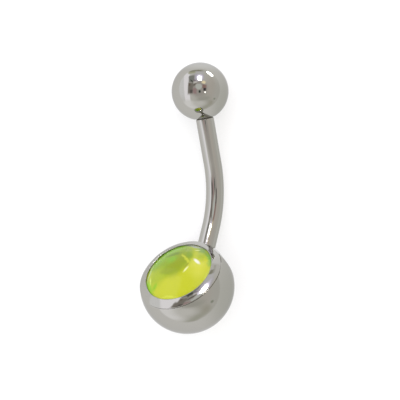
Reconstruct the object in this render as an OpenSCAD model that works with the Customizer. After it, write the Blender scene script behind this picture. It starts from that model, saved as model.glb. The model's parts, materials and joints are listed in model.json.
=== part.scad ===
// Curved barbell for a navel piercing: a plain ball that screws on at the top, a bent bar,
// and a larger ball below that holds a domed stone in a bezel.
// Lengths in millimetres, angles in degrees. It lies as it comes to rest by itself: on both
// balls and on the belly of the bar, the longest way along Y, the floor at Z = 0.

/* [Balls] */
// Diameter of the plain ball at the top
top_ball_d = 5; // [4:0.5:6]
// Diameter of the ball that holds the stone
jewel_ball_d = 8; // [7:0.5:9]
// Distance between the centres of the two balls
ball_span = 16.9; // [16:0.1:20]

/* [Bar] */
// Diameter of the bar
bar_d = 1.6; // [1.2:0.1:1.8]
// Straight stretch from the centre of the top ball to the bend
top_straight = 6.4; // [5.5:0.1:7]
// Radius of the bend, along the middle of the bar
bend_radius = 9; // [8:0.5:11]
// Angle of the upper stretch to the line between the balls
top_lean = 22; // [18:0.5:24]
// Angle of the lower stretch to the line between the balls
tail_lean = 15.5; // [12:0.5:18]
// How deep the tail sits in the jewel ball, along its own line
tail_depth = 1.8; // [1.2:0.1:2]
// Small bevel at both ends of the bar
end_bevel = 0.1; // [0.05:0.05:0.2]

/* [Thread] */
// Diameter of the post that the top ball screws on to
post_d = 1.2; // [1.1:0.05:1.25]
// Length of the post
post_len = 2.4; // [1.5:0.1:2.6]
// Diameter of the hole in the top ball
post_bore_d = 1.3; // [1.28:0.02:1.4]
// Width of the flat round the mouth of that hole
mouth_d = 2; // [1.8:0.1:2.4]

/* [Bezel] */
// Angle between the stone's axis and the line between the balls
stone_lean = 52; // [45:1:58]
// Turn of the stone's axis out of the plane of the bend
stone_twist = 7; // [0:1:12]
// Angle from the stone's axis at which the ball ends and the bezel begins
bezel_angle = 64.5; // [62:0.5:68]
// Radius of the outer edge of the lip
lip_outer_r = 3.12; // [3.05:0.01:3.2]
// Height of the lip above the centre of the ball
lip_z = 2.03; // [1.95:0.01:2.1]
// Radius of the lip's inner edge, which holds the stone down
lip_inner_r = 2.92; // [2.85:0.01:2.98]
// Height of the pocket's floor above the centre of the ball
pocket_z = 1.05; // [0.9:0.05:1.2]

/* [Turned cone] */
// Angle between the axis of the cone turned on the ball's back and the line between the balls
cone_lean = 46; // [40:1:52]
// Angle from that axis at which the cone begins
cone_outer_angle = 55; // [50:1:60]
// Angle from that axis at which it ends, outside the bar
cone_inner_angle = 26.5; // [25:0.5:32]

/* [Stone] */
// Radius of the stone at its girdle
stone_r = 3.04; // [2.98:0.01:3.05]
// Height of the girdle above the centre of the ball
girdle_z = 1.8; // [1.7:0.01:1.82]
// Height of the dome above the girdle
dome_h = 0.8; // [0.7:0.05:1.1]

/* [Hidden] */
$fn = 96;

slip = 0.02;       // gap left between pieces that sit in each other
lap = 1;           // how far the bend runs into each straight stretch, in degrees
lap_slack = 0.01;  // how much thinner the bend is, so that its ends lie inside them
past = 1;          // how far a cutting shape runs past what it cuts
steel = "silver";

top_r = top_ball_d / 2;
jewel_r = jewel_ball_d / 2;
bar_r = bar_d / 2;
post_r = post_d / 2;

// The ring's own frame: the jewel ball's centre at the origin, +Y towards the top ball, and
// the bar bowed out to +X. Points on the middle of the bar are written [x, y].
bend_start = [top_straight * sin(top_lean), ball_span - top_straight * cos(top_lean)];
bend_centre = bend_start - bend_radius * [cos(top_lean), sin(top_lean)];
bend_end = bend_centre + bend_radius * [cos(tail_lean), -sin(tail_lean)];

// The lower stretch runs from bend_end towards the jewel ball and into its socket.
tail_dir = -[sin(tail_lean), cos(tail_lean)];
tail_half = bend_end * tail_dir;
tail_to_mouth = -tail_half - sqrt(tail_half * tail_half - bend_end * bend_end + jewel_r * jewel_r);
tail_len = tail_to_mouth + tail_depth;

// The bar's shoulder stops at the flat round the top ball's hole.
mouth_from_centre = sqrt(top_r * top_r - mouth_d * mouth_d / 4);
shoulder_from_centre = mouth_from_centre + slip;
upper_len = top_straight - shoulder_from_centre;
post_bore_depth = mouth_from_centre + post_len - shoulder_from_centre + 0.3;

// Rest on a floor: the line between the balls slopes down to the smaller one, and the ring
// rolls about that line until the lowest point of the bend touches too.
slope = asin((jewel_r - top_r) / ball_span);
drop = jewel_r - bar_r - bend_centre[1] * sin(slope);
roll_a = bend_radius * bend_radius - bend_centre[0] * bend_centre[0];
roll_b = bend_centre[0] * drop;
roll_c = pow(bend_radius * sin(slope), 2) - drop * drop;
roll = asin((-roll_b + sqrt(roll_b * roll_b - roll_a * roll_c)) / roll_a / cos(slope));
middle_y = (ball_span * cos(slope) + top_r - jewel_r) / 2;

// The bezel, as radius and height about the stone's axis.
bezel_edge = jewel_r * [sin(bezel_angle), cos(bezel_angle)];
lip_bevel = 0.04;
lip_corner = [lip_outer_r, lip_z - lip_bevel];
bezel_slope = (bezel_edge - lip_corner) / (bezel_edge[0] - lip_outer_r);
bezel_far = bezel_edge + (jewel_r + past - bezel_edge[0]) * bezel_slope;
pocket_r = stone_r + slip;
dome_r = (stone_r * stone_r + dome_h * dome_h) / (2 * dome_h);
dome_centre_z = girdle_z + dome_h - dome_r;
lip_under_z = dome_centre_z + sqrt(pow(dome_r + slip, 2) - lip_inner_r * lip_inner_r);

// Puts the ring's own frame on the floor, with the middle of its box over the origin.
module resting() {
  translate([0, -middle_y, jewel_r])
    rotate([-slope, 0, 0])
      rotate([0, roll, 0])
        children();
}

// Frame at the top ball's centre, with -Z down the bar.
module at_top_ball() {
  translate([0, ball_span, 0])
    rotate([0, 0, top_lean])
      rotate([-90, 0, 0])
        children();
}

// Frame at the end of the bend, with +Z along the tail.
module at_tail() {
  translate([bend_end[0], bend_end[1], 0])
    rotate([0, 0, -tail_lean])
      rotate([90, 0, 0])
        children();
}

// Frame at the jewel ball's centre, with +Z along the stone's axis.
module at_stone() {
  rotate([0, stone_twist, 0])
    rotate([0, 0, stone_lean])
      rotate([-90, 0, 0])
        children();
}

// Steel ball with a flat and a blind hole for the bar's post.
module top_ball() {
  color(steel) resting() at_top_ball()
    difference() {
      sphere(r = top_r);
      translate([0, 0, -top_r - past])
        cylinder(r = top_r, h = top_r + past - mouth_from_centre);
      translate([0, 0, -mouth_from_centre - past])
        cylinder(d = post_bore_d, h = past + post_bore_depth);
    }
}

// Upper stretch of the bar with its shoulder and post, from the start of the bend upwards.
module upper_stretch() {
  top = upper_len + post_len;
  rotate_extrude()
    polygon([
      [0, 0], [bar_r, 0], [bar_r, upper_len - end_bevel], [bar_r - end_bevel, upper_len],
      [post_r, upper_len], [post_r, top - end_bevel], [post_r - end_bevel, top], [0, top]
    ]);
}

// Lower stretch, from the end of the bend into the jewel ball.
module tail() {
  rotate_extrude()
    polygon([
      [0, 0], [bar_r, 0], [bar_r, tail_len - end_bevel], [bar_r - end_bevel, tail_len],
      [0, tail_len]
    ]);
}

// The bend itself, an arc of a ring.
module bend() {
  translate([bend_centre[0], bend_centre[1], 0])
    rotate([0, 0, -tail_lean - lap])
      rotate_extrude(angle = tail_lean + top_lean + 2 * lap)
        translate([bend_radius, 0])
          circle(r = bar_r - lap_slack);
}

// Bent bar: a straight upper stretch, one bend of even radius and a straight tail.
module curved_bar() {
  color(steel) resting() {
    at_top_ball()
      translate([0, 0, -top_straight])
        upper_stretch();
    bend();
    at_tail() tail();
  }
}

// What the bezel side of the jewel ball keeps: all below the sloped band and the lip.
module bezel_limit() {
  rotate_extrude()
    polygon([
      [0, -jewel_r - past], [jewel_r + past, -jewel_r - past], bezel_far,
      lip_corner, [lip_outer_r - lip_bevel, lip_z], [0, lip_z]
    ]);
}

// Pocket for the stone, narrower at the lip that is pressed over the girdle.
module stone_pocket() {
  rotate_extrude()
    polygon([
      [0, pocket_z], [pocket_r, pocket_z], [pocket_r, girdle_z], [lip_inner_r, lip_under_z],
      [lip_inner_r, lip_z - lip_bevel], [lip_inner_r + lip_bevel + past, lip_z + past],
      [0, lip_z + past]
    ]);
}

// What the lathe takes off the ball's back round the bar: all outside a cone.
module turned_cone() {
  outer = jewel_r * [sin(cone_outer_angle), cos(cone_outer_angle)];
  inner = jewel_r * [sin(cone_inner_angle), cos(cone_inner_angle)];
  rotate([0, 0, -cone_lean])
    rotate([-90, 0, 0])
      rotate_extrude()
        polygon([outer, inner, [jewel_r + past, jewel_r + past]]);
}

// Larger ball, with its bezel, the pocket, the turned cone and the socket for the bar.
module jewel_ball() {
  color(steel) resting()
    difference() {
      intersection() {
        sphere(r = jewel_r);
        at_stone() bezel_limit();
      }
      at_stone() stone_pocket();
      turned_cone();
      at_tail()
        translate([0, 0, tail_to_mouth - past])
          cylinder(r = bar_r + slip, h = past + tail_depth + slip);
    }
}

// Flat-backed stone with a low dome.
module stone() {
  color("yellowgreen") resting() at_stone()
    intersection() {
      translate([0, 0, dome_centre_z]) sphere(r = dome_r);
      translate([0, 0, pocket_z + slip])
        cylinder(r = stone_r, h = girdle_z + dome_h - pocket_z);
    }
}

top_ball();
curved_bar();
jewel_ball();
stone();
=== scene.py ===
# %% [markdown]
# # A belly button ring in mirror-polished steel
#
# The ring is a bent steel bar with a small plain ball at the top and a larger ball below,
# which holds a yellow-green domed stone in a bezel. All that a mirror-polished thing shows is
# what stands round it, so this lesson has two halves of equal weight: turning the steel as
# smooth as a lathe would, and building a bright studio for it to reflect.
#
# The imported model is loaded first. It is the ring's skeleton: sizes, places and the way the
# top ball comes off are read from it and never changed.

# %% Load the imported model
import json
from math import acos, asin, atan2, cos, degrees, pi, radians, sin, sqrt, tan

import bmesh
import bpy
from mathutils import Matrix, Vector


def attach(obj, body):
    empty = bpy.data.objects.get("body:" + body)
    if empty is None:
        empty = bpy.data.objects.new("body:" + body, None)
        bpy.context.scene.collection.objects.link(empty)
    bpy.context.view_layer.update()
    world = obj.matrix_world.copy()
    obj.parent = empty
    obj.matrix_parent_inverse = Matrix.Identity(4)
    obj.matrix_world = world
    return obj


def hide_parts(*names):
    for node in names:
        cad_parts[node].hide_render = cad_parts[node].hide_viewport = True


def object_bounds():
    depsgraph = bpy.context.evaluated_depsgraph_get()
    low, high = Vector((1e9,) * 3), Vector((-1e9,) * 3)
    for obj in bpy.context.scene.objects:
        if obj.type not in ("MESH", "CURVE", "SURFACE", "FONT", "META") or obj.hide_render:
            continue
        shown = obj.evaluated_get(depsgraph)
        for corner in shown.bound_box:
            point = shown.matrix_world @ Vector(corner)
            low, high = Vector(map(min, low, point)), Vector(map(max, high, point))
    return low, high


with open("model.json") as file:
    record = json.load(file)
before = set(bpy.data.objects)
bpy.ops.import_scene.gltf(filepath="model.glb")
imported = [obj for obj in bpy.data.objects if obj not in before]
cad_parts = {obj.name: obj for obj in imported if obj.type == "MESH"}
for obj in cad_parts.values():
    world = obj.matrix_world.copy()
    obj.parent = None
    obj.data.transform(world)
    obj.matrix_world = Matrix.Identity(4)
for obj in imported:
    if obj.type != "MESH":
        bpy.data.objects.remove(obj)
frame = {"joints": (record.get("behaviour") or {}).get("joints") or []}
cad_low, cad_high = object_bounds()
print("packed model from", cad_low, "to", cad_high)

# %% [markdown]
# ## The ring's own drawing frame
#
# The ring lies rolled on to its side, so its drawing is easier in a frame of its own. There
# the origin is the middle of the stone ball, Y runs to the middle of the top ball, and the
# bar bows out to X. Both middles follow from the model's box, because the balls are its two
# ends, and the bow's direction follows from the line that the top ball leaves along, which
# leans 22 degrees away from Y in the plane of the bend.

# %% Find the drawing frame
MM = 0.001
TOP_R = 2.5 * MM
JEWEL_R = 4 * MM
TOP_LEAN = radians(22)

jewel_middle = Vector((0, cad_low[1] + JEWEL_R, JEWEL_R))
top_middle = Vector((0, cad_high[1] - TOP_R, TOP_R))
leave_axis = Vector(frame["joints"][0]["axis"]).normalized()

to_top = (top_middle - jewel_middle).normalized()
BALL_SPAN = (top_middle - jewel_middle).length
bow = (to_top * cos(TOP_LEAN) - leave_axis) / sin(TOP_LEAN)
bow = (bow - to_top * bow.dot(to_top)).normalized()
across = bow.cross(to_top)


def axes_to_matrix(x, y, z, origin=(0, 0, 0)):
    """The matrix that takes the three unit axes to x, y and z, and the origin to origin."""
    turn = Matrix((x, y, z)).transposed()
    return Matrix.Translation(origin) @ turn.to_4x4()


RING = axes_to_matrix(bow, to_top, across, jewel_middle)
print("span between the balls %.3f mm" % (BALL_SPAN / MM))

# %% [markdown]
# ## The camera
#
# The photograph looks down from almost straight above, from about 55 mm away, which makes
# the near stone ball look larger than a long lens would. A camera can be placed by three
# angles or by a constraint that tracks a target. Here its axes were measured in the
# photograph, so they are given as they are: the way to its right, and the way that points
# back from the ring to the lens. The two are made square to each other, and up follows.

# %% Place the camera
CAMERA_AT = Vector((4.12, -1.456, 58.359)) * MM
CAMERA_RIGHT = Vector((0.9963, 0.0586, -0.0625)).normalized()
CAMERA_BACK = Vector((0.0638, -0.0204, 0.9978))
SENSOR_WIDTH = 36
FOCAL_LENGTH = 57.82
NEAREST, FURTHEST = 1 * MM, 10

camera_back = (CAMERA_BACK - CAMERA_RIGHT * CAMERA_BACK.dot(CAMERA_RIGHT)).normalized()
camera_data = bpy.data.cameras.new("camera")
camera_data.sensor_fit = "HORIZONTAL"
camera_data.sensor_width = SENSOR_WIDTH
camera_data.lens = FOCAL_LENGTH
camera_data.clip_start = NEAREST
camera_data.clip_end = FURTHEST
camera = bpy.data.objects.new("camera", camera_data)
camera.matrix_world = axes_to_matrix(
    CAMERA_RIGHT, camera_back.cross(CAMERA_RIGHT), camera_back, CAMERA_AT
)
bpy.context.scene.collection.objects.link(camera)
bpy.context.scene.camera = camera
print("camera %.1f degrees off straight down" % degrees(acos(camera_back.z)))

# %% [markdown]
# ## Shader maths as plain expressions
#
# Node trees get long when every sum is a node placed by hand. One small class wraps a
# socket, so that `1 - mask` or `waves * 0.5` adds the Math node by itself. Every other kind
# of node comes from one method of the tree, which takes the node's settings and its inputs.


# %% A socket that can be calculated with
class Value:
    """A socket of a node tree, with the usual operators."""

    def __init__(self, tree, socket):
        self.tree = tree
        self.socket = socket

    def math(self, operation, *others):
        return self.tree.add("ShaderNodeMath", {"operation": operation}, self, *others)

    def turned_round(self, operation, other):
        return self.tree.add("ShaderNodeMath", {"operation": operation}, other, self)

    def __add__(self, other):
        return self.math("ADD", other)

    def __mul__(self, other):
        return self.math("MULTIPLY", other)

    def __sub__(self, other):
        return self.math("SUBTRACT", other)

    def __truediv__(self, other):
        return self.math("DIVIDE", other)

    def __rsub__(self, other):
        return self.turned_round("SUBTRACT", other)

    def __rtruediv__(self, other):
        return self.turned_round("DIVIDE", other)

    __radd__ = __add__
    __rmul__ = __mul__

    def between(self, low, high):
        """0 at low, 1 at high, and a soft S between them."""
        settings = {"interpolation_type": "SMOOTHSTEP"}
        return self.tree.add("ShaderNodeMapRange", settings, self, low, high, 0, 1)


# %% A tree that nodes are added to
class Tree:
    """A node tree of a material or of the world."""

    def __init__(self, owner):
        owner.use_nodes = True
        self.nodes = owner.node_tree.nodes
        self.links = owner.node_tree.links
        self.nodes.clear()

    def add(self, kind, settings=None, *inputs, out=0, **named):
        """Adds a node: settings first, then its inputs in order or by name."""
        node = self.nodes.new(kind)
        for key, setting in (settings or {}).items():
            setattr(node, key, setting)
        by_name = [(key.replace("_", " "), given) for key, given in named.items()]
        for key, given in list(enumerate(inputs)) + by_name:
            if isinstance(given, Value):
                self.links.new(given.socket, node.inputs[key])
            elif given is not None:
                node.inputs[key].default_value = given
        return Value(self, node.outputs[out]) if len(node.outputs) else node

    def place(self):
        """Where a point lies in its object, which is where it lies in the model."""
        return self.add("ShaderNodeTexCoord", None, out=3)

    def less(self, vector, start):
        """The way from a fixed point to the vector."""
        settings = {"operation": "SUBTRACT"}
        return self.add("ShaderNodeVectorMath", settings, vector, tuple(start))

    def dot(self, vector, direction):
        """How far a vector reaches along a fixed direction."""
        settings = {"operation": "DOT_PRODUCT"}
        return self.add("ShaderNodeVectorMath", settings, vector, tuple(direction), out=1)

    def blend(self, factor, below, above):
        """The colour below, covered by the colour above where the factor is 1."""
        node = self.nodes.new("ShaderNodeMix")
        node.data_type = "RGBA"
        sockets = [s for s in node.inputs if s.type == "RGBA"]
        for socket, given in zip([node.inputs[0]] + sockets, (factor, below, above)):
            if isinstance(given, Value):
                self.links.new(given.socket, socket)
            else:
                socket.default_value = given
        return Value(self, [s for s in node.outputs if s.type == "RGBA"][0])


# %% [markdown]
# ## From a mesh to a piece
#
# Every piece of the ring ends the same way. Its mesh becomes an object at the origin, gets
# its material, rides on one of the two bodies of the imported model, and stands for a plain
# node there. One helper does it all, so that no piece misses a step. The things of the
# studio use it too, without a body.


# %% Turn a mesh into an object
def finished(name, bm, material, body=None, replaces=()):
    """Makes an object of the mesh and, with a body, lets it ride there."""
    mesh = bpy.data.meshes.new(name)
    bm.to_mesh(mesh)
    bm.free()
    made = bpy.data.objects.new(name, mesh)
    made.data.materials.append(material)
    bpy.context.scene.collection.objects.link(made)
    if body:
        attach(made, body)
        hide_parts(*replaces)
    print(name, "has", len(mesh.polygons), "faces")
    return made


# %% [markdown]
# ## A chart of the sky
#
# Polished steel shows whatever stands round it, so its looks are made by placing things in
# the studio. They could be real panels, moved about until their mirror images fit. Soft
# patches painted on the sky are quicker to place, and a flat chart makes them as easy as
# pins on a map: straight overhead is the middle, and a direction lies as many degrees from
# it as it leans, u towards +X and v towards +Y. A patch's colour is given as the steel
# should show it on a screen, so it is divided by the steel's own colour.

# %% Read the chart and its colours
STEEL = (0.43, 0.42, 0.385, 1)


def toward(u, v):
    """The unit vector at a point of the chart, in degrees."""
    lean, compass = radians(sqrt(u * u + v * v)), atan2(v, u)
    return Vector((sin(lean) * cos(compass), sin(lean) * sin(compass), cos(lean)))


def tone(red, green, blue):
    """A colour as it is read off a screen, 0 to 255, in the linear light of the shaders."""
    shares = (c / 255 for c in (red, green, blue))
    light = (c / 12.92 if c <= 0.04045 else ((c + 0.055) / 1.055) ** 2.4 for c in shares)
    return tuple(light) + (1,)


def shown(red, green, blue):
    """The brightness that the steel shows as this colour of a screen."""
    return tuple(c / s for c, s in zip(tone(red, green, blue)[:3], STEEL)) + (1,)


print("a cloth that the steel shows as 168 grey is %.2f bright" % shown(168, 168, 168)[0])

# %% [markdown]
# ## Soft patches
#
# A patch is a turned ellipse or box with a soft edge. Its mask is worked out from the
# distance to its middle, measured along its own two sides, so it needs no picture and stays
# smooth however close a mirror brings it. A list of patches is painted one over the other,
# as with a brush, and the same helper later clouds the stone.

# %% Paint patches on a chart
NO_LESS = 1e-4


def spot(x, y, at_x, at_y, long, short, turn=0, soft=0.3, square=False):
    """A mask that is 1 inside a turned ellipse or box on a chart and fades over its edge."""
    turn = radians(turn)
    dx, dy = x - at_x, y - at_y
    along = (dx * cos(turn) + dy * sin(turn)) * (2 / long)
    side = (dy * cos(turn) - dx * sin(turn)) * (2 / short)
    if square:
        far = along.math("ABSOLUTE").math("MAXIMUM", side.math("ABSOLUTE"))
    else:
        far = (along * along + side * side).math("SQRT")
    return far.between(1 + soft, 1 - soft)


def chart(tree, way):
    """The chart's u, v and lean, in degrees, of a unit vector in a node tree."""
    x, y, z = (tree.add("ShaderNodeSeparateXYZ", None, way, out=i) for i in range(3))
    lean = z.math("ARCCOSINE") * (180 / pi)
    level = (x * x + y * y).math("SQRT").math("MAXIMUM", NO_LESS)
    return lean * x / level, lean * y / level, lean


def painted(tree, u, v, ground, things, as_light=shown):
    """The ground colour with each thing of the list painted over it."""
    for *patch, colour in things:
        ground = tree.blend(spot(u, v, *patch), ground, as_light(*colour))
    return ground


# %% [markdown]
# ## The tent and the table
#
# Jewellery is photographed in a tent of white cloth. The world's upper half is that tent: an
# even pale grey, with a bright panel on the left, a violet glow where the key lamp comes
# through, and a dark pole. Its lower half is the table. The floor that the ring lies on is
# kept out of every mirror, because a sheet lit from below would turn the outer third of each
# ball white, where the real one shows an even grey, and a world's lower half can be any grey.

# %% List what hangs in the tent
CLOTH, LOW_CLOTH, TABLE_TOP = (168, 166, 158), (170, 168, 161), (178, 176, 170)
CLOTH_FADE = (62, 88)                                       # leans, in degrees
HORIZON = (86, 92)

WIDE = [
    # u, v, long, short, turn, soft, square, colour on the steel
    (60, -5, 80, 150, 0, 0.7, False, (158, 152, 143)),      # the tent's warmer side
    (20, -45, 60, 60, 0, 0.6, False, (150, 148, 138)),
]
TABLE = [
    (120, -40, 110, 210, 0, 0.7, False, (163, 162, 154)),   # darker on the right
    (-10, 125, 130, 60, 0, 0.7, False, (194, 193, 189)),
]
FAR = [
    (88, -18, 60, 150, 0, 0.7, False, (156, 154, 146)),     # the dimmer right side
    (-66, 20, 62, 130, 0, 0.4, False, (188, 187, 184)),     # the panel's spill
    (-52, 14, 24, 134, 4, 0.25, True, (209, 206, 206)),     # the panel
    (-40, -66, 70, 36, -14, 0.5, False, (196, 194, 190)),   # bounce from the table
    (2, -58, 56, 26, 6, 0.7, False, (176, 174, 167)),
    (20, -37, 48, 12, 14, 0.7, False, (144, 142, 133)),     # a dim fold in the cloth
    (30, -74, 70, 16, 33, 0.8, False, (147, 146, 134)),
    (52, -52, 26, 18, 50, 0.8, False, (146, 143, 131)),
    (67, -33, 9, 7, 30, 0.6, False, (124, 126, 112)),
    (-5, 48, 36, 42, 0, 0.5, False, (163, 158, 170)),       # violet glow round the key lamp
    (-2, 46, 22, 29, 0, 0.45, False, (240, 232, 248)),
    (-3, 68, 26, 18, 0, 0.5, True, (170, 168, 166)),
    (-24, 77.5, 58, 7.5, 4, 0.4, True, (124, 122, 106)),    # the tent's pole
    (-35, 69, 28, 8, 6, 0.4, True, (150, 150, 126)),
    (3, 22, 32, 18, 0, 0.3, False, (143, 138, 131)),        # the lens's shade
    (16, 27, 16, 12, 0, 0.5, False, (214, 200, 166)),
]
print(len(WIDE) + len(FAR), "patches in the tent and", len(TABLE), "on the table")

# %% Hang the tent
world = bpy.data.worlds.new("tent")
bpy.context.scene.world = world
sky = Tree(world)
u, v, lean = chart(sky, sky.add("ShaderNodeTexCoord"))
cloth = painted(sky, u, v, shown(*CLOTH), WIDE)
cloth = sky.blend(lean.between(*CLOTH_FADE), cloth, shown(*LOW_CLOTH))
cloth = painted(sky, u, v, cloth, FAR)
table = painted(sky, u, v, shown(*TABLE_TOP), TABLE)
everything = sky.blend(lean.between(*HORIZON), cloth, table)
glow = sky.add("ShaderNodeBackground", None, everything, 1.0)
sky.add("ShaderNodeOutputWorld", None, glow)
print("the tent has", len(sky.nodes), "nodes")

# %% [markdown]
# ## The near side
#
# The lens is only a few centimetres from the ring, and so are its shade and its stand, so
# the stone ball sees them from another side than the top ball does. A world can't do that,
# because it is the same from everywhere. They are painted on a bowl held over the ring and
# centred on the top ball, which no camera sees but every mirror does. The bowl is clear
# between them and where the key lamp shines in.

# %% List what is near
BOWL_R = 57 * MM
OPENING = (-2, 3, 66, 66, 0, 0.3, False, (143, 138, 131))   # the dim gap in the cloth
STAND = [
    (-32, 39, 23, 30, 6, 0.3, True, (116, 116, 110)),       # they reach out past the gap
    (-26.5, 25, 26, 5.5, -48, 0.5, False, (58, 62, 56)),
    (-16, 29, 18, 6, -48, 0.5, False, (112, 98, 112)),
    (-34.25, 2, 20.5, 46, -2, 0.3, True, (110, 105, 97)),
    (-30, -11, 12, 13, 0, 0.4, True, (84, 80, 76)),
]
IN_THE_GAP = [
    (-38, 17, 7, 12, 0, 0.4, True, (98, 88, 78)),
    (-18, 16, 6, 15, -38, 0.5, True, (100, 95, 86)),
    (-17, 25, 15, 8, 20, 0.4, True, (176, 172, 166)),
    (-17, -9, 14, 22, 0, 0.4, True, (138, 118, 115)),
    (20, 10.5, 16, 14, 0, 0.35, True, (126, 101, 94)),
    (22, -1, 11, 11, 0, 0.3, True, (56, 53, 53)),
    (-2, 9, 24, 24, 0, 0.2, False, (167, 168, 161)),        # the lens's bright ring
    (2.5, -10.5, 9, 11, 0, 0.35, False, (52, 62, 55)),      # the lens itself
]
WINDOW = (6, 42, 32, 46, 0, 0.15, True)                     # where the key lamp shines in
print(1 + len(STAND) + len(IN_THE_GAP), "things near the ring")


# %% Paint the bowl
def near_side():
    """Things painted in light on the bowl, and nothing between them."""
    made = bpy.data.materials.new("near_side")
    tree = Tree(made)
    settings = {"operation": "NORMALIZE"}
    way = tree.add("ShaderNodeVectorMath", settings, tree.less(tree.place(), top_middle))
    u, v, _ = chart(tree, way)
    light = painted(tree, u, v, shown(*OPENING[-1]), STAND + IN_THE_GAP)
    there = spot(u, v, *OPENING[:-1])
    for *patch, _ in STAND:
        there = there.math("MAXIMUM", spot(u, v, *patch))
    there = there * (1 - spot(u, v, *WINDOW))
    shader = tree.add(
        "ShaderNodeBsdfPrincipled", None, Base_Color=(0, 0, 0, 1), Roughness=1.0,
        Specular_IOR_Level=0.0, Emission_Color=light, Emission_Strength=1.0, Alpha=there,
    )
    tree.add("ShaderNodeOutputMaterial", None, shader)
    return made


# %% Hold the bowl over the ring
BOWL_SEGMENTS, BOWL_RINGS = 96, 48
BOWL_LEAN = radians(68)

bowl_mesh = bmesh.new()
bmesh.ops.create_uvsphere(
    bowl_mesh, u_segments=BOWL_SEGMENTS, v_segments=BOWL_RINGS, radius=BOWL_R
)
rim_z = BOWL_R * cos(BOWL_LEAN)
below_rim = [f for f in bowl_mesh.faces if f.calc_center_median().z < rim_z]
bmesh.ops.delete(bowl_mesh, geom=below_rim, context="FACES")
bmesh.ops.reverse_faces(bowl_mesh, faces=bowl_mesh.faces)
bmesh.ops.translate(bowl_mesh, vec=top_middle, verts=bowl_mesh.verts)
bowl = finished("near_side", bowl_mesh, near_side())
bowl.visible_camera = False
bowl.visible_shadow = False
bowl.visible_diffuse = False

# %% [markdown]
# ## Lamps
#
# Small bright lamps give the steel its white sparks, which are their mirror images. A lamp's
# power follows from how bright its face should look, because a flat lamp of area A and
# brightness L gives off pi * A * L. The spark lamps are kept out of the diffuse light, and
# one broad fill that no mirror shows whitens the floor.
#
# In a real studio the lamps hang so near that each piece sees them somewhere else. Light
# linking does the same here: a lamp can be told which pieces it reaches, so that a spark
# which sits right on one piece doesn't appear in the wrong place on another.

# %% Make a lamp
LAMP_DISTANCE = 400 * MM


def lamp(
    name, u, v, wide, high, bright, turn=0, fill=False, away=LAMP_DISTANCE, seen_from=(0, 0, 0)
):
    """A flat oval lamp, wide by high degrees as seen from a point, and facing it."""
    data = bpy.data.lights.new(name, "AREA")
    data.shape = "ELLIPSE"
    data.size = 2 * away * tan(radians(wide / 2))
    data.size_y = 2 * away * tan(radians(high / 2))
    data.energy = bright * pi * data.size * data.size_y
    lit = bpy.data.objects.new(name, data)
    back = toward(u, v)
    compass = atan2(v, u)
    right = Vector((-sin(compass), cos(compass), 0))
    lit.matrix_world = axes_to_matrix(
        right, back.cross(right), back, Vector(seen_from) + back * away
    ) @ Matrix.Rotation(radians(turn), 4, "Z")
    lit.visible_camera = False
    lit.visible_diffuse = fill
    lit.visible_glossy = not fill
    bpy.context.scene.collection.objects.link(lit)
    print("%s: %.0f x %.0f mm" % (name, data.size / MM, data.size_y / MM))
    return lit


def shine_only(pieces, lamps):
    """Lets these lamps reach these pieces alone."""
    reached = bpy.data.collections.new("lit_by_" + lamps[0].name)
    for piece in pieces:
        reached.objects.link(piece)
    for each in lamps:
        each.light_linking.receiver_collection = reached


# %% Hang the lamps
FLASH_DISTANCE = 45 * MM

key_lamp = lamp("key_lamp", -1, 43, 13, 19, 17, turn=18)
low_lamp = lamp("low_lamp", -1, 35.1, 30, 5, 4, turn=-10)
side_lamp = lamp("side_lamp", 35, 71, 22, 9.5, 12, turn=-7)
flash = lamp("flash", 23.5, -11.5, 6, 6, 2.2, away=FLASH_DISTANCE, seen_from=top_middle)
lamp("fill", 0, 12, 70, 70, 0.68, fill=True)

# %% [markdown]
# ## The floor
#
# Small bright things are often photographed on a light table, a sheet of milky acrylic lit
# from below, which fills its own shadows. A white sheet under strong light would do too, but
# its shadows would stay grey. This one glows faintly, is far larger than the ring, and shows
# in no mirror, because the lower half of the world stands for it there.

# %% Lay the sheet
SHEET_HALF = 1500 * MM
CLOUD_SCALE = 300
MILK = ((0.44, 0.44, 0.44, 1), (0.46, 0.46, 0.46, 1))
LIT_FROM_BELOW = 0.57


def acrylic():
    """Milky acrylic lit from below, with the faintest cloud in it."""
    made = bpy.data.materials.new("acrylic")
    tree = Tree(made)
    place = tree.place()
    cloud = tree.add("ShaderNodeTexNoise", None, Vector=place, Scale=CLOUD_SCALE, Detail=4)
    shader = tree.add(
        "ShaderNodeBsdfPrincipled", None, Base_Color=tree.blend(cloud, *MILK), Roughness=0.9,
        Specular_IOR_Level=0.0, Emission_Color=(1, 1, 1, 1), Emission_Strength=LIT_FROM_BELOW,
    )
    tree.add("ShaderNodeOutputMaterial", None, shader)
    return made


sheet_mesh = bmesh.new()
bmesh.ops.create_grid(sheet_mesh, x_segments=1, y_segments=1, size=SHEET_HALF)
floor = finished("floor", sheet_mesh, acrylic())
floor.visible_glossy = False

# %% [markdown]
# ## Turning on the lathe
#
# Both balls and the stone are turned shapes. A sphere cut with other solids would do, but
# its faces would run in the wrong direction and every cut would leave slivers in the mirror.
# So the outline is drawn the way a lathe's tool travels, by one moving vertex: a straight
# stretch extrudes it, and an arc spins it about the arc's middle. Then the whole outline is
# spun about Z. Edges sharper than a few degrees stay crisp, and all others are shaded smooth.

# %% Draw and spin an outline
AROUND = 192
ONE_POINT = 1e-4 * MM


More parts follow.
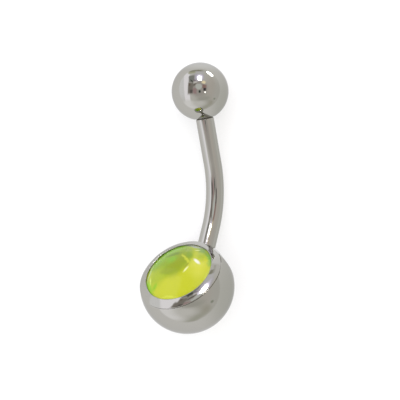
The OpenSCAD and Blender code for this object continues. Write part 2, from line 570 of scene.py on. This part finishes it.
class Outline:
    """Draws a lathe outline in the XZ plane with one vertex: (radius, height) points."""

    def __init__(self, radius, height):
        self.bm = bmesh.new()
        self.tip = self.bm.verts.new((radius, 0, height))

    def line(self, radius, height):
        made = bmesh.ops.extrude_vert_indiv(self.bm, verts=[self.tip])
        self.tip = made["verts"][0]
        self.tip.co = (radius, 0, height)
        return self

    def arc(self, radius, height, angle, steps):
        """Carries the tip round a middle point, clockwise for a positive angle."""
        made = bmesh.ops.spin(
            self.bm, geom=[self.tip], cent=(radius, 0, height), axis=(0, 1, 0),
            angle=angle, steps=steps, use_duplicate=False,
        )
        self.tip = [v for v in made["geom_last"] if isinstance(v, bmesh.types.BMVert)][0]
        return self

    def turned(self, steps=AROUND):
        """The outline spun into a closed solid."""
        bm = self.bm
        bmesh.ops.spin(
            bm, geom=bm.verts[:] + bm.edges[:], cent=(0, 0, 0), axis=(0, 0, 1),
            angle=2 * pi, steps=steps, use_merge=True, use_duplicate=False,
        )
        bmesh.ops.remove_doubles(bm, verts=bm.verts, dist=ONE_POINT)
        bmesh.ops.recalc_face_normals(bm, faces=bm.faces)
        return bm


# %% Polish and place a mesh
CRISP = radians(6)


def polished(bm):
    """Smooth faces, with crisp edges wherever two faces meet at a marked angle."""
    for face in bm.faces:
        face.smooth = True
    for edge in bm.edges:
        edge.smooth = edge.calc_face_angle(pi) < CRISP
    return bm


def placed(bm, matrix):
    """Moves a mesh from its own frame to its place in the model."""
    bmesh.ops.transform(bm, matrix=matrix, verts=bm.verts)
    return bm


def along_way(way):
    """The turn that takes Z to a way."""
    return way.to_track_quat("Z", "X").to_matrix().to_4x4()


# %% [markdown]
# ## Polished steel
#
# Surgical steel is a little darker and warmer than chrome. A perfect mirror would do for it
# at a distance, but close up a polished surface has a trace of life: a slow wander in how
# sharp the mirror is, and hair-fine marks of the polishing mop that only show along a
# highlight. The tint of its edges is turned down, because the real balls don't brighten
# towards their outline.
#
# The bezel's band and lip are pressed down with a burnisher after that, which leaves fine
# lines that run round the stone. The lip's inner edge, where the burnisher can't reach, is
# left a little matt.

# %% Name the traces of polishing
EDGE_TINT = (0.75, 0.75, 0.75, 1)
LEAST_ROUGH, MORE_ROUGH = 0.025, 0.02
WANDER_SCALE = 600
MARK_SCALE, MARK_DEPTH = 1800, 0.004 * MM
ROUND_SCALE, ACROSS_SCALE, LINE_DEPTH = 5, 7, 0.003 * MM
PRESSED_FADE = 0.05
MATT_RADII, MATT_ROUGH = (3.0, 2.98), 0.35


# %% Mix the steel
def burnished(tree, place, seat, pressed_above):
    """Over a height in the seat's frame: the lines of the burnisher, and the matt inner edge."""
    arm = tree.less(place, seat.translation)
    x, y, height = (tree.dot(arm, seat.to_3x3().col[i]) / MM for i in range(3))
    out = (x * x + y * y).math("SQRT")
    round_the_stone = tree.add(
        "ShaderNodeCombineXYZ", None,
        x / out * ROUND_SCALE, y / out * ROUND_SCALE, (out + height) * ACROSS_SCALE,
    )
    lines = tree.add("ShaderNodeTexNoise", None, Vector=round_the_stone, Scale=1, Detail=3)
    start = pressed_above / MM
    pressed = height.between(start - PRESSED_FADE, start + PRESSED_FADE)
    return lines * pressed, out.between(*MATT_RADII) * pressed * MATT_ROUGH


def steel(name, seat=None, pressed_above=None):
    """Mirror-polished steel; above a height in the seat's frame it is burnished."""
    made = bpy.data.materials.new(name)
    tree = Tree(made)
    place = tree.place()
    wander = tree.add("ShaderNodeTexNoise", None, Vector=place, Scale=WANDER_SCALE, Detail=3)
    rough = wander.between(0.3, 0.7) * MORE_ROUGH + LEAST_ROUGH
    marks = tree.add("ShaderNodeTexNoise", None, Vector=place, Scale=MARK_SCALE, Detail=5)
    bump = tree.add("ShaderNodeBump", None, Strength=1.0, Distance=MARK_DEPTH, Height=marks)
    if seat:
        lines, matt = burnished(tree, place, seat, pressed_above)
        rough = rough + matt
        bump = tree.add(
            "ShaderNodeBump", None, Strength=1.0, Distance=LINE_DEPTH, Height=lines, Normal=bump
        )
    shader = tree.add(
        "ShaderNodeBsdfPrincipled", None, Base_Color=STEEL, Metallic=1.0, Roughness=rough,
        Specular_Tint=EDGE_TINT, Normal=bump,
    )
    tree.add("ShaderNodeOutputMaterial", None, shader)
    print(name, "is mixed from", len(tree.nodes), "nodes")
    return made


# %% [markdown]
# ## The top ball
#
# A 5 mm ball with a small flat where it meets the bar, and a blind threaded hole in it. The
# hole could be cut with a Boolean, but it lies on the ball's own axis, so one outline turns
# both: it starts at the far pole, runs round to the flat, and goes up the hole to the cone
# that its drill left. The side lamp and the flash spark on this ball alone.

# %% Turn the top ball
MOUTH_R = 1 * MM
BORE_R = 0.78 * MM
BORE_DEPTH = 2.68 * MM
DRILL_CONE = 0.4 * MM
ARC_STEPS = 96

mouth_z = -sqrt(TOP_R**2 - MOUTH_R**2)
top_outline = Outline(0, TOP_R).arc(0, 0, pi - asin(MOUTH_R / TOP_R), ARC_STEPS)
top_outline.line(BORE_R, mouth_z)
top_outline.line(BORE_R, mouth_z + BORE_DEPTH - DRILL_CONE)
top_outline.line(0, mouth_z + BORE_DEPTH)
side = leave_axis.orthogonal().normalized()
TOP = axes_to_matrix(side, leave_axis.cross(side), leave_axis, top_middle)
top_ball = finished(
    "polished_top_ball", polished(placed(top_outline.turned(), TOP)), steel("top_steel"),
    "ball", ["top_ball"],
)
shine_only([top_ball], [side_lamp, flash])

# %% [markdown]
# ## The bent bar
#
# The bar is one round wire, 1.6 mm across, with a bend of even radius between two straight
# stretches. A curve with a round bevel would bend as well, but its ends would still have to
# be shaped. So the mesh grows as the wire is made: a circle is capped, pushed along the
# tail, spun about the middle of the bend, and pushed on up to the rounded shoulder, where it
# steps in to the core of the thread.

# %% Measure the bar
BAR_R = 0.8 * MM
TOP_STRAIGHT = 6.4 * MM
BEND_RADIUS = 9 * MM
TAIL_LEAN = radians(15.5)
TAIL_DEPTH = 1.8 * MM
SLIP = 0.02 * MM

bend_start = Vector((TOP_STRAIGHT * sin(TOP_LEAN), BALL_SPAN - TOP_STRAIGHT * cos(TOP_LEAN), 0))
bend_centre = bend_start - BEND_RADIUS * Vector((cos(TOP_LEAN), sin(TOP_LEAN), 0))
bend_end = bend_centre + BEND_RADIUS * Vector((cos(TAIL_LEAN), -sin(TAIL_LEAN), 0))
tail_way = -Vector((sin(TAIL_LEAN), cos(TAIL_LEAN), 0))
top_way = Vector((-sin(TOP_LEAN), cos(TOP_LEAN), 0))
tail_half = bend_end.dot(tail_way)
tail_to_mouth = -tail_half - sqrt(tail_half**2 - bend_end.dot(bend_end) + JEWEL_R**2)
tail_len = tail_to_mouth + TAIL_DEPTH
upper_len = TOP_STRAIGHT + mouth_z - SLIP
print("tail %.2f mm, upper stretch %.2f mm" % (tail_len / MM, upper_len / MM))


# %% Push an open rim along
def push(bm, rim, way, radius=None, along=0):
    """Extrudes the open rim along a way, and scales it to a new radius about its middle."""
    made = bmesh.ops.extrude_edge_only(bm, edges=rim)["geom"]
    verts = [v for v in made if isinstance(v, bmesh.types.BMVert)]
    middle = sum((v.co for v in verts), Vector()) / len(verts)
    for v in verts:
        arm = v.co - middle
        v.co = middle + way * along + arm * ((radius or arm.length) / arm.length)
    return [e for e in made if isinstance(e, bmesh.types.BMEdge)]


# %% Bend the bar
END_BEVEL = 0.1 * MM
SHOULDER_R, SHOULDER_STEPS = 0.16 * MM, 8
BEND_STEPS = 64
BAR_SIDES = 96

wire = bmesh.new()
bmesh.ops.create_circle(
    wire, cap_ends=True, segments=BAR_SIDES, radius=BAR_R - END_BEVEL,
    matrix=Matrix.Translation(bend_end + tail_way * tail_len) @ along_way(-tail_way),
)
rim = push(wire, [e for e in wire.edges if e.is_boundary], -tail_way, BAR_R, END_BEVEL)
rim = push(wire, rim, -tail_way, None, tail_len - END_BEVEL)
bent = bmesh.ops.spin(
    wire, geom=rim + list({v for e in rim for v in e.verts}), cent=bend_centre, axis=(0, 0, 1),
    angle=TAIL_LEAN + TOP_LEAN, steps=BEND_STEPS, use_duplicate=False,
)
rim = [e for e in bent["geom_last"] if isinstance(e, bmesh.types.BMEdge)]
rim = push(wire, rim, top_way, None, upper_len - SHOULDER_R)
for step in range(SHOULDER_STEPS):
    before, after = (pi / 2 * k / SHOULDER_STEPS for k in (step, step + 1))
    radius = BAR_R - SHOULDER_R * (1 - cos(after))
    rim = push(wire, rim, top_way, radius, SHOULDER_R * (sin(after) - sin(before)))
print("bar bent through %.1f degrees" % degrees(TAIL_LEAN + TOP_LEAN))

# %% [markdown]
# ## The thread
#
# The top ball screws on to a thin post with a fine thread, which only shows once the ball is
# off. Bump alone would leave the post's outline straight, so the ridge is real: a small
# wedge is drawn once and spun about the post while it climbs, 0.35 mm a turn. Its foot is
# sunk into the core, so that no gap opens between them.

# %% Turn the core of the thread
CORE_R = 0.62 * MM
POST_LEN = 2.4 * MM

rim = push(wire, rim, top_way, CORE_R, 0)
rim = push(wire, rim, top_way, None, POST_LEN - END_BEVEL)
rim = push(wire, rim, top_way, CORE_R - END_BEVEL, END_BEVEL)
bmesh.ops.holes_fill(wire, edges=rim, sides=0)
bmesh.ops.recalc_face_normals(wire, faces=wire.faces)
print("post %.1f mm long" % (POST_LEN / MM))

# %% Cut the thread
THREAD_R = 0.76 * MM
PITCH = 0.35 * MM
TURNS = 5.6
TURN_STEPS = 48
SUNK_R = CORE_R - 0.02 * MM
FOOT_HALF, CREST_HALF = 0.15 * MM, 0.02 * MM
LEAD_IN = 0.22 * MM

shoulder = bend_start + top_way * upper_len
ridge = [wire.verts.new((radius, 0, height)) for radius, height in (
    (SUNK_R, -FOOT_HALF), (THREAD_R, -CREST_HALF), (THREAD_R, CREST_HALF), (SUNK_R, FOOT_HALF),
)]
wedge = wire.faces.new(ridge)
POST = Matrix.Translation(shoulder + top_way * LEAD_IN) @ along_way(top_way)
bmesh.ops.transform(wire, matrix=POST, verts=ridge)
wound = bmesh.ops.spin(
    wire, geom=list(wedge.edges) + ridge, cent=shoulder, axis=top_way,
    dvec=top_way * PITCH / TURN_STEPS, angle=2 * pi * TURNS, steps=int(TURNS * TURN_STEPS),
    use_duplicate=False,
)
last = [v for v in wound["geom_last"] if isinstance(v, bmesh.types.BMVert)]
bmesh.ops.contextual_create(wire, geom=last)
bmesh.ops.recalc_face_normals(wire, faces=wire.faces)
print("thread of %.1f turns" % TURNS)

# %% Finish the bar
bar = finished(
    "polished_bar", polished(placed(wire, RING)), steel("bar_steel"),
    "ring", ["curved_bar"],
)
shine_only([bar], [low_lamp])

# %% [markdown]
# ## The stone ball
#
# The larger ball was turned about the stone's own axis: the sphere, a fine groove at the
# bezel's foot, the gently convex band that slopes up to the stone, the thin lip pressed over
# it, and the pocket below. A bevel could round the band's edge, but an arc that touches both
# the band and the ball is exact, and its middle is a corner of a triangle whose three sides
# are known: from the ball's middle to the band's, and from each of them to the edge's.

# %% Find the stone's seat
STONE_LEAN = radians(52)
STONE_TWIST = radians(7)

SEAT = (
    RING
    @ Matrix.Rotation(STONE_TWIST, 4, "Y")
    @ Matrix.Rotation(STONE_LEAN, 4, "Z")
    @ Matrix.Rotation(-pi / 2, 4, "X")
)
print("the stone leans %.1f degrees off upright" % degrees(acos(SEAT.col[2].z)))

# %% Fit the pocket to the stone
STONE_R = 3.04 * MM
GIRDLE_Z = 1.8 * MM
DOME_H = 0.75 * MM
POCKET_Z = 1.05 * MM
LIP_INNER_R = 2.93 * MM

pocket_r = STONE_R + SLIP
dome_r = (STONE_R**2 + DOME_H**2) / (2 * DOME_H)
dome_centre_z = GIRDLE_Z + DOME_H - dome_r
lip_under_z = dome_centre_z + sqrt((dome_r + SLIP) ** 2 - LIP_INNER_R**2)
print("the dome's radius is %.2f mm" % (dome_r / MM))

# %% Lay out the band and the groove
LIP_Z = 2.0 * MM
LIP_R = 0.07 * MM
BAND_TILT = radians(17.5)
BAND_R = 2.0 * MM
EDGE_R = 0.09 * MM
GROOVE_DEPTH = 0.05 * MM
GROOVE_ANGLE = radians(1.15)

lip_middle = Vector((LIP_INNER_R + LIP_R, LIP_Z - LIP_R))
lip_side = Vector((sin(BAND_TILT), cos(BAND_TILT)))
band_middle = lip_middle + lip_side * (LIP_R - BAND_R)
in_band, in_ball = BAND_R - EDGE_R, JEWEL_R - EDGE_R
corner = (in_ball**2 - band_middle.length_squared - in_band**2) / (2 * in_band)
edge_tilt = atan2(*band_middle) - acos(corner / band_middle.length)
edge_middle = band_middle + in_band * Vector((sin(edge_tilt), cos(edge_tilt)))
ball_tilt = atan2(*edge_middle)
groove_tilt, groove_end = ball_tilt + GROOVE_ANGLE / 2, ball_tilt + GROOVE_ANGLE
print("the band ends %.1f degrees off the stone's axis" % degrees(ball_tilt))

# %% Turn the stone ball
LIP_STEPS, BAND_STEPS, EDGE_STEPS = 12, 24, 12

shell = Outline(0, POCKET_Z)
shell.line(pocket_r, POCKET_Z)
shell.line(pocket_r, GIRDLE_Z)
shell.line(LIP_INNER_R, lip_under_z)
shell.line(LIP_INNER_R, LIP_Z - LIP_R)
shell.arc(*lip_middle, pi / 2 + BAND_TILT, LIP_STEPS)
shell.arc(*band_middle, edge_tilt - BAND_TILT, BAND_STEPS)
shell.arc(*edge_middle, ball_tilt - edge_tilt, EDGE_STEPS)
for radius, tilt in ((JEWEL_R - GROOVE_DEPTH, groove_tilt), (JEWEL_R, groove_end)):
    shell.line(radius * sin(tilt), radius * cos(tilt))
shell.arc(0, 0, pi - groove_end, ARC_STEPS)
shell_mesh = shell.turned(2 * AROUND)
print("turned with", len(shell_mesh.faces), "faces")

# %% [markdown]
# ## The pressed lip
#
# A bezel is closed with a burnisher, which goes round the stone and presses the lip down a
# little at a time, so the lip is never quite true, and each highlight on it wavers. Noise
# would make it lumpy, so a few waves that close on themselves move its points by a few
# thousandths of a millimetre, and its inner edge, which yields most, three times as far.

# %% Press the lip down
WAVES = ((7, 1.0, 1.0), (12, 2.0, 0.7), (19, 0.5, 0.5), (31, 2.5, 0.3))
PRESS = 0.003 * MM
YIELD = 2

above = [v for v in shell_mesh.verts if v.co.z > edge_middle.y]
bezel = [v for v in above if v.co.xy.length > LIP_INNER_R - SLIP]
for v in bezel:
    compass = atan2(v.co.y, v.co.x)
    wave = sum(share * sin(count * compass + start) for count, start, share in WAVES)
    inward = 1 + YIELD * (v.co.xy.length < LIP_INNER_R + LIP_R)
    v.co.xy *= 1 + PRESS * inward * wave / v.co.xy.length
    v.co.z += PRESS * wave
print(len(bezel), "points of the bezel pressed a little out of true")
shell_mesh = placed(shell_mesh, SEAT)

# %% [markdown]
# ## The cone and the socket
#
# A second turning, about another axis, took a shallow cone off the ball's back round the
# bar, and a hole was drilled there for the bar's tail. One spin has only one axis, so these
# two are cut with a Boolean. The exact solver keeps the mirror beside the cut
# clean, and each cutter is itself turned on the lathe.


# %% Cut one mesh with others
def cut(target, *cutters):
    """Takes the cutters off the target and returns the result as a new mesh."""
    result = target
    for cutter in cutters:
        parts = []
        for bm in (result, cutter):
            mesh = bpy.data.meshes.new("cutting")
            bm.to_mesh(mesh)
            bm.free()
            part = bpy.data.objects.new("cutting", mesh)
            bpy.context.scene.collection.objects.link(part)
            parts.append(part)
        saw = parts[0].modifiers.new("cut", "BOOLEAN")
        saw.operation = "DIFFERENCE"
        saw.solver = "EXACT"
        saw.object = parts[1]
        bpy.context.view_layer.update()
        sawn = parts[0].evaluated_get(bpy.context.evaluated_depsgraph_get())
        result = bmesh.new()
        result.from_mesh(sawn.to_mesh())
        for part in parts:
            bpy.data.objects.remove(part)
    return result


# %% Cut the cone and the socket
CONE_LEAN = radians(46)
CONE_OUTER = radians(55)
CONE_INNER = radians(26.5)
PAST = 1 * MM

inner, outer = (
    (JEWEL_R * sin(tilt), JEWEL_R * cos(tilt)) for tilt in (CONE_INNER, CONE_OUTER)
)
cone = Outline(*inner).line(*outer).line(JEWEL_R + PAST, JEWEL_R + PAST).line(*inner)
CONE = RING @ Matrix.Rotation(-CONE_LEAN, 4, "Z") @ Matrix.Rotation(-pi / 2, 4, "X")

drill_r, drill_end = BAR_R + SLIP, tail_len + SLIP
drill = Outline(0, tail_to_mouth - PAST).line(drill_r, tail_to_mouth - PAST)
drill.line(drill_r, drill_end).line(0, drill_end)
TAIL = RING @ Matrix.Translation(bend_end) @ along_way(tail_way)

shell_mesh = cut(shell_mesh, placed(cone.turned(), CONE), placed(drill.turned(), TAIL))
pressed_above = band_middle.y + in_band * cos(edge_tilt)
jewel_ball = finished(
    "polished_stone_ball", polished(shell_mesh), steel("bezel_steel", SEAT, pressed_above),
    "ring", ["jewel_ball"],
)

# %% [markdown]
# ## The colours of the stone
#
# The stone is a low dome of moulded glass with a flat, foiled back. Light goes through the
# dome, meets the foil, and comes back yellow where the back faces the key lamp and green
# where it doesn't, with olive between them and a light line where the dome's edge gathers
# it. Real refraction would need the foil and hundreds of light paths a pixel. Clouds painted
# in the glass, on a chart of its own with millimetres from its middle, give its own
# yellow-green and that light and shade as painted light and painted shade; they look the same
# and cost nothing. A little noise leads their edges astray, and four small painted highlights
# and reflections are painted last, without it.

# %% List the stone's colours, its painted light and shade, and its painted highlights
YELLOW = (204, 210, 72)
# partly the glass's own yellow-green, partly painted light and shade for the light that the foil
# sends back
COLOUR_AND_PAINTED_LIGHT = [
    # x, y, long, short (mm), turn, soft, square, colour
    # painted light: brighter yellow where the key lamp shines through the dome
    (0.5, -1.9, 2.0, 1.5, 20, 0.8, False, (220, 223, 94)),      # under the key lamp
    (1.05, 1.1, 4.3, 4.1, 0, 0.25, False, (153, 181, 60)),      # the green half
    (1.35, 1.85, 4.2, 1.3, -36, 0.5, False, (146, 189, 64)),
    (-1.1, 1.6, 1.7, 1.6, 0, 0.7, False, (178, 197, 70)),
    # painted shade: olive in its middle, where the dark camera is mirrored through the dome
    (0.55, 0.0, 2.6, 1.6, 0, 0.6, False, (156, 173, 56)),       # olive in its middle
    (-0.5, 0.55, 0.6, 1.6, 8, 0.7, False, (159, 177, 68)),
    (1.41, 1.0, 0.42, 1.3, 15, 0.7, False, (130, 156, 62)),
    (0.78, 0.8, 0.75, 0.8, 0, 0.8, False, (146, 194, 68)),
    (2.1, -0.2, 0.5, 0.6, 0, 0.7, False, (162, 182, 84)),
    (1.45, -0.6, 0.75, 0.5, 30, 0.7, False, (146, 175, 66)),
    # painted light: a curved yellow line of light gathered inside the dome
    (1.16, -0.2, 0.75, 0.2, 46, 0.7, False, (204, 212, 76)),    # a curved yellow line
    (0.87, -0.58, 0.55, 0.2, 63, 0.7, False, (206, 214, 74)),
    (0.67, -0.91, 0.55, 0.22, 55, 0.7, False, (206, 214, 74)),
    (0.39, -1.13, 0.5, 0.2, 18, 0.7, False, (204, 211, 76)),
    (0.28, -0.95, 0.6, 0.1, -17, 0.6, False, (156, 163, 70)),
    (1.5, -2.4, 1.7, 0.5, 34, 0.6, False, (150, 196, 96)),      # green along the rim
    (2.3, -1.35, 1.5, 0.6, 60, 0.7, False, (148, 178, 98)),
    (-1.95, 2.05, 2.4, 0.5, 47, 0.6, False, (160, 209, 70)),
    (-1.95, 1.35, 0.5, 0.4, 0, 0.8, False, (158, 201, 66)),
    # painted light: pale lines of light caught along the rim
    (2.76, -0.35, 2.6, 0.32, 82, 0.7, False, (184, 191, 176)),
    (-0.1, 2.75, 2.8, 0.26, 10, 0.7, False, (188, 210, 134)),   # light caught in the rim
    (-2.7, -0.5, 2.4, 0.2, 98, 0.7, False, (216, 224, 84)),
    (-0.1, -2.84, 1.6, 0.2, 2, 0.7, False, (214, 222, 100)),
    # painted light: lighter along the rim under the seat, and a glow round the brightest painted
    # highlight
    (2.2, 1.65, 2.2, 0.5, -53, 0.7, False, (158, 206, 98)),
    (1.5, -1.6, 0.9, 0.7, 30, 0.8, False, (188, 203, 88)),
]
# painted highlights and reflections: glints of light inside the dome, and the top ball's
# highlight mirrored in it
PAINTED_HIGHLIGHTS = [
    (-1.37, 2.08, 0.7, 0.13, 25, 0.7, False, (218, 235, 118)),
    (-0.14, -1.04, 0.6, 0.16, -16.6, 0.6, False, (246, 250, 180)),
    (0.86, -1.58, 0.7, 0.25, 58, 0.6, False, (255, 255, 240)),
    (2.2, -0.98, 0.42, 0.1, -68, 0.6, False, (238, 242, 165)),
]
print(len(COLOUR_AND_PAINTED_LIGHT), "clouds and", len(PAINTED_HIGHLIGHTS), "gleams")

# %% [markdown]
# ## The glass
#
# The glass has a smooth shiny surface that mirrors the tent faintly. A colour in the list is
# given as the stone should show it on a screen, so what the surface mirrors is taken off,
# and the rest is divided by how brightly the tent lights it.

# %% Mix the glass
MIRRORED = 0.033
TENT_LIGHT = 1.2
ASTRAY_SCALE, ASTRAY = 1100, 0.5


def seen(red, green, blue):
    """The glass's own colour, where it looks like this in the tent."""
    light = tone(red, green, blue)[:3]
    return tuple(max(c - MIRRORED, 0) / TENT_LIGHT for c in light) + (1,)


def green_glass():
    """Yellow-green glass, clouded with painted light and shade and with painted highlights."""
    made = bpy.data.materials.new("green_glass")
    tree = Tree(made)
    place = tree.place()
    drift = tree.add("ShaderNodeTexNoise", None, Vector=place, Scale=ASTRAY_SCALE, Detail=4)
    from_middle = tree.less(place, jewel_middle)
    x, y = (tree.dot(from_middle, SEAT.to_3x3().col[i]) / MM for i in range(2))
    astray = (drift - 0.5) * ASTRAY
    colour = painted(tree, x + astray, y - astray, seen(*YELLOW), COLOUR_AND_PAINTED_LIGHT, seen)
    colour = painted(tree, x, y, colour, PAINTED_HIGHLIGHTS, seen)
    shader = tree.add(
        "ShaderNodeBsdfPrincipled", None, Base_Color=colour, Roughness=0.04,
        IOR=1.5, Specular_IOR_Level=0.25,
    )
    tree.add("ShaderNodeOutputMaterial", None, shader)
    print("the glass is mixed from", len(tree.nodes), "nodes")
    return made


# %% [markdown]
# ## The stone
#
# The stone is 6.1 mm across and its dome rises only 0.75 mm, so it is a slice of a much
# larger ball. It could be cut from one, but a lathe outline gives its girdle and its flat
# back in the same stroke: an arc from the top of the dome, a short side, and the back. It
# sits in the pocket with a hair of room, and the lip overlaps its rim.

# %% Turn the stone
DOME_STEPS = 48

dome = Outline(0, GIRDLE_Z + DOME_H).arc(0, dome_centre_z, asin(STONE_R / dome_r), DOME_STEPS)
dome.line(STONE_R, POCKET_Z + SLIP)
dome.line(0, POCKET_Z + SLIP)
stone = finished(
    "domed_stone", polished(placed(dome.turned(), SEAT)), green_glass(),
    "ring", ["stone"],
)
shine_only([top_ball, jewel_ball, stone], [key_lamp])

# %% [markdown]
# ## The end
#
# The plain view transform is set, because the colours above were chosen as a screen shows them.

# %% Finish
bpy.context.scene.view_settings.view_transform = "Standard"
